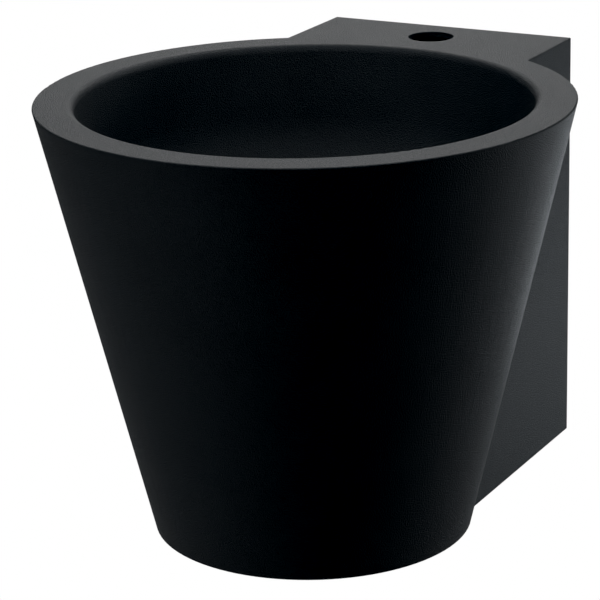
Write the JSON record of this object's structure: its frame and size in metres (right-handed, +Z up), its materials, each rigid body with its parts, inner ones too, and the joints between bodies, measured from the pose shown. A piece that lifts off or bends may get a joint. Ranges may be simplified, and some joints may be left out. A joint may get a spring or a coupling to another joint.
{
  "type": "wall-hung washbasin",
  "caption": "Wall-hung washbasin: a truncated cone with a flat rim and round bowl, joined to the wall by a box whose flat top is a tap ledge with one round hole; trap hidden inside.",
  "frame": {"origin": "middle of the four wall fixings, on the wall plane", "axes": "+Z up, +Y into the wall, +X to the right of a person facing the wall; the basin stands out along -Y"},
  "size_m": [0.3845, 0.4383, 0.32],
  "materials": {
    "black_coat": "matt, finely textured powder coat on stainless steel sheet",
    "zinc_steel": "zinc-plated",
    "stainless_steel": "satin stainless",
    "black_rubber": "matt",
    "damping_pad": "matt, slightly rough",
    "white_plastic": "semi-gloss moulded",
    "grey_plastic": "matt moulded"
  },
  "bodies": {
    "basin": {"top_deck": "black_coat", "bowl": "black_coat", "cone_shell": "black_coat", "left_side_panel": "black_coat", "right_side_panel": "black_coat", "back_panel": "black_coat", "tap_reinforcement": "black_coat", "cover_tabs": "black_coat", "wall_frame": "zinc_steel", "frame_standoffs": "zinc_steel", "cover_nuts": "zinc_steel", "locking_screws": "stainless_steel", "locking_washers": "stainless_steel", "waste_grid": "stainless_steel", "waste_screw": "stainless_steel", "waste_top_seal": "black_rubber", "waste_bottom_seal": "black_rubber", "inlet_washer": "black_rubber", "trap_ring": "black_rubber", "outlet_ring": "black_rubber", "sound_pad": "damping_pad", "waste_body": "grey_plastic", "inlet_tube": "white_plastic", "trap_body": "white_plastic", "waste_pipe": "white_plastic", "inlet_nut": "grey_plastic", "trap_nut": "grey_plastic", "outlet_nut": "grey_plastic"},
    "access_cover": {"access_cover": "black_coat", "cover_screws": "stainless_steel"},
    "cup_seal": {"trap_cup_seal": "black_rubber"},
    "trap_cup": {"trap_cup": "white_plastic"}
  },
  "joints": [
    {"name": "cover_drop", "type": "slide", "parent": "basin", "child": "access_cover", "axis": [0, 0, -1], "range_m": [0, 0.08]},
    {"name": "cup_lower", "type": "slide", "parent": "basin", "child": "cup_seal", "axis": [0, 0, -1], "range_m": [0, 0.014]},
    {"name": "cup_turn", "type": "hinge", "parent": "cup_seal", "child": "trap_cup", "pos_m": [0, -0.246, -0.12], "axis": [0, 0, -1], "range_deg": [0, 1260]}
  ],
  "couplings": [
    {"joint": "cup_turn", "follows": "cup_lower", "rad_per_m": 1570.8}
  ]
}
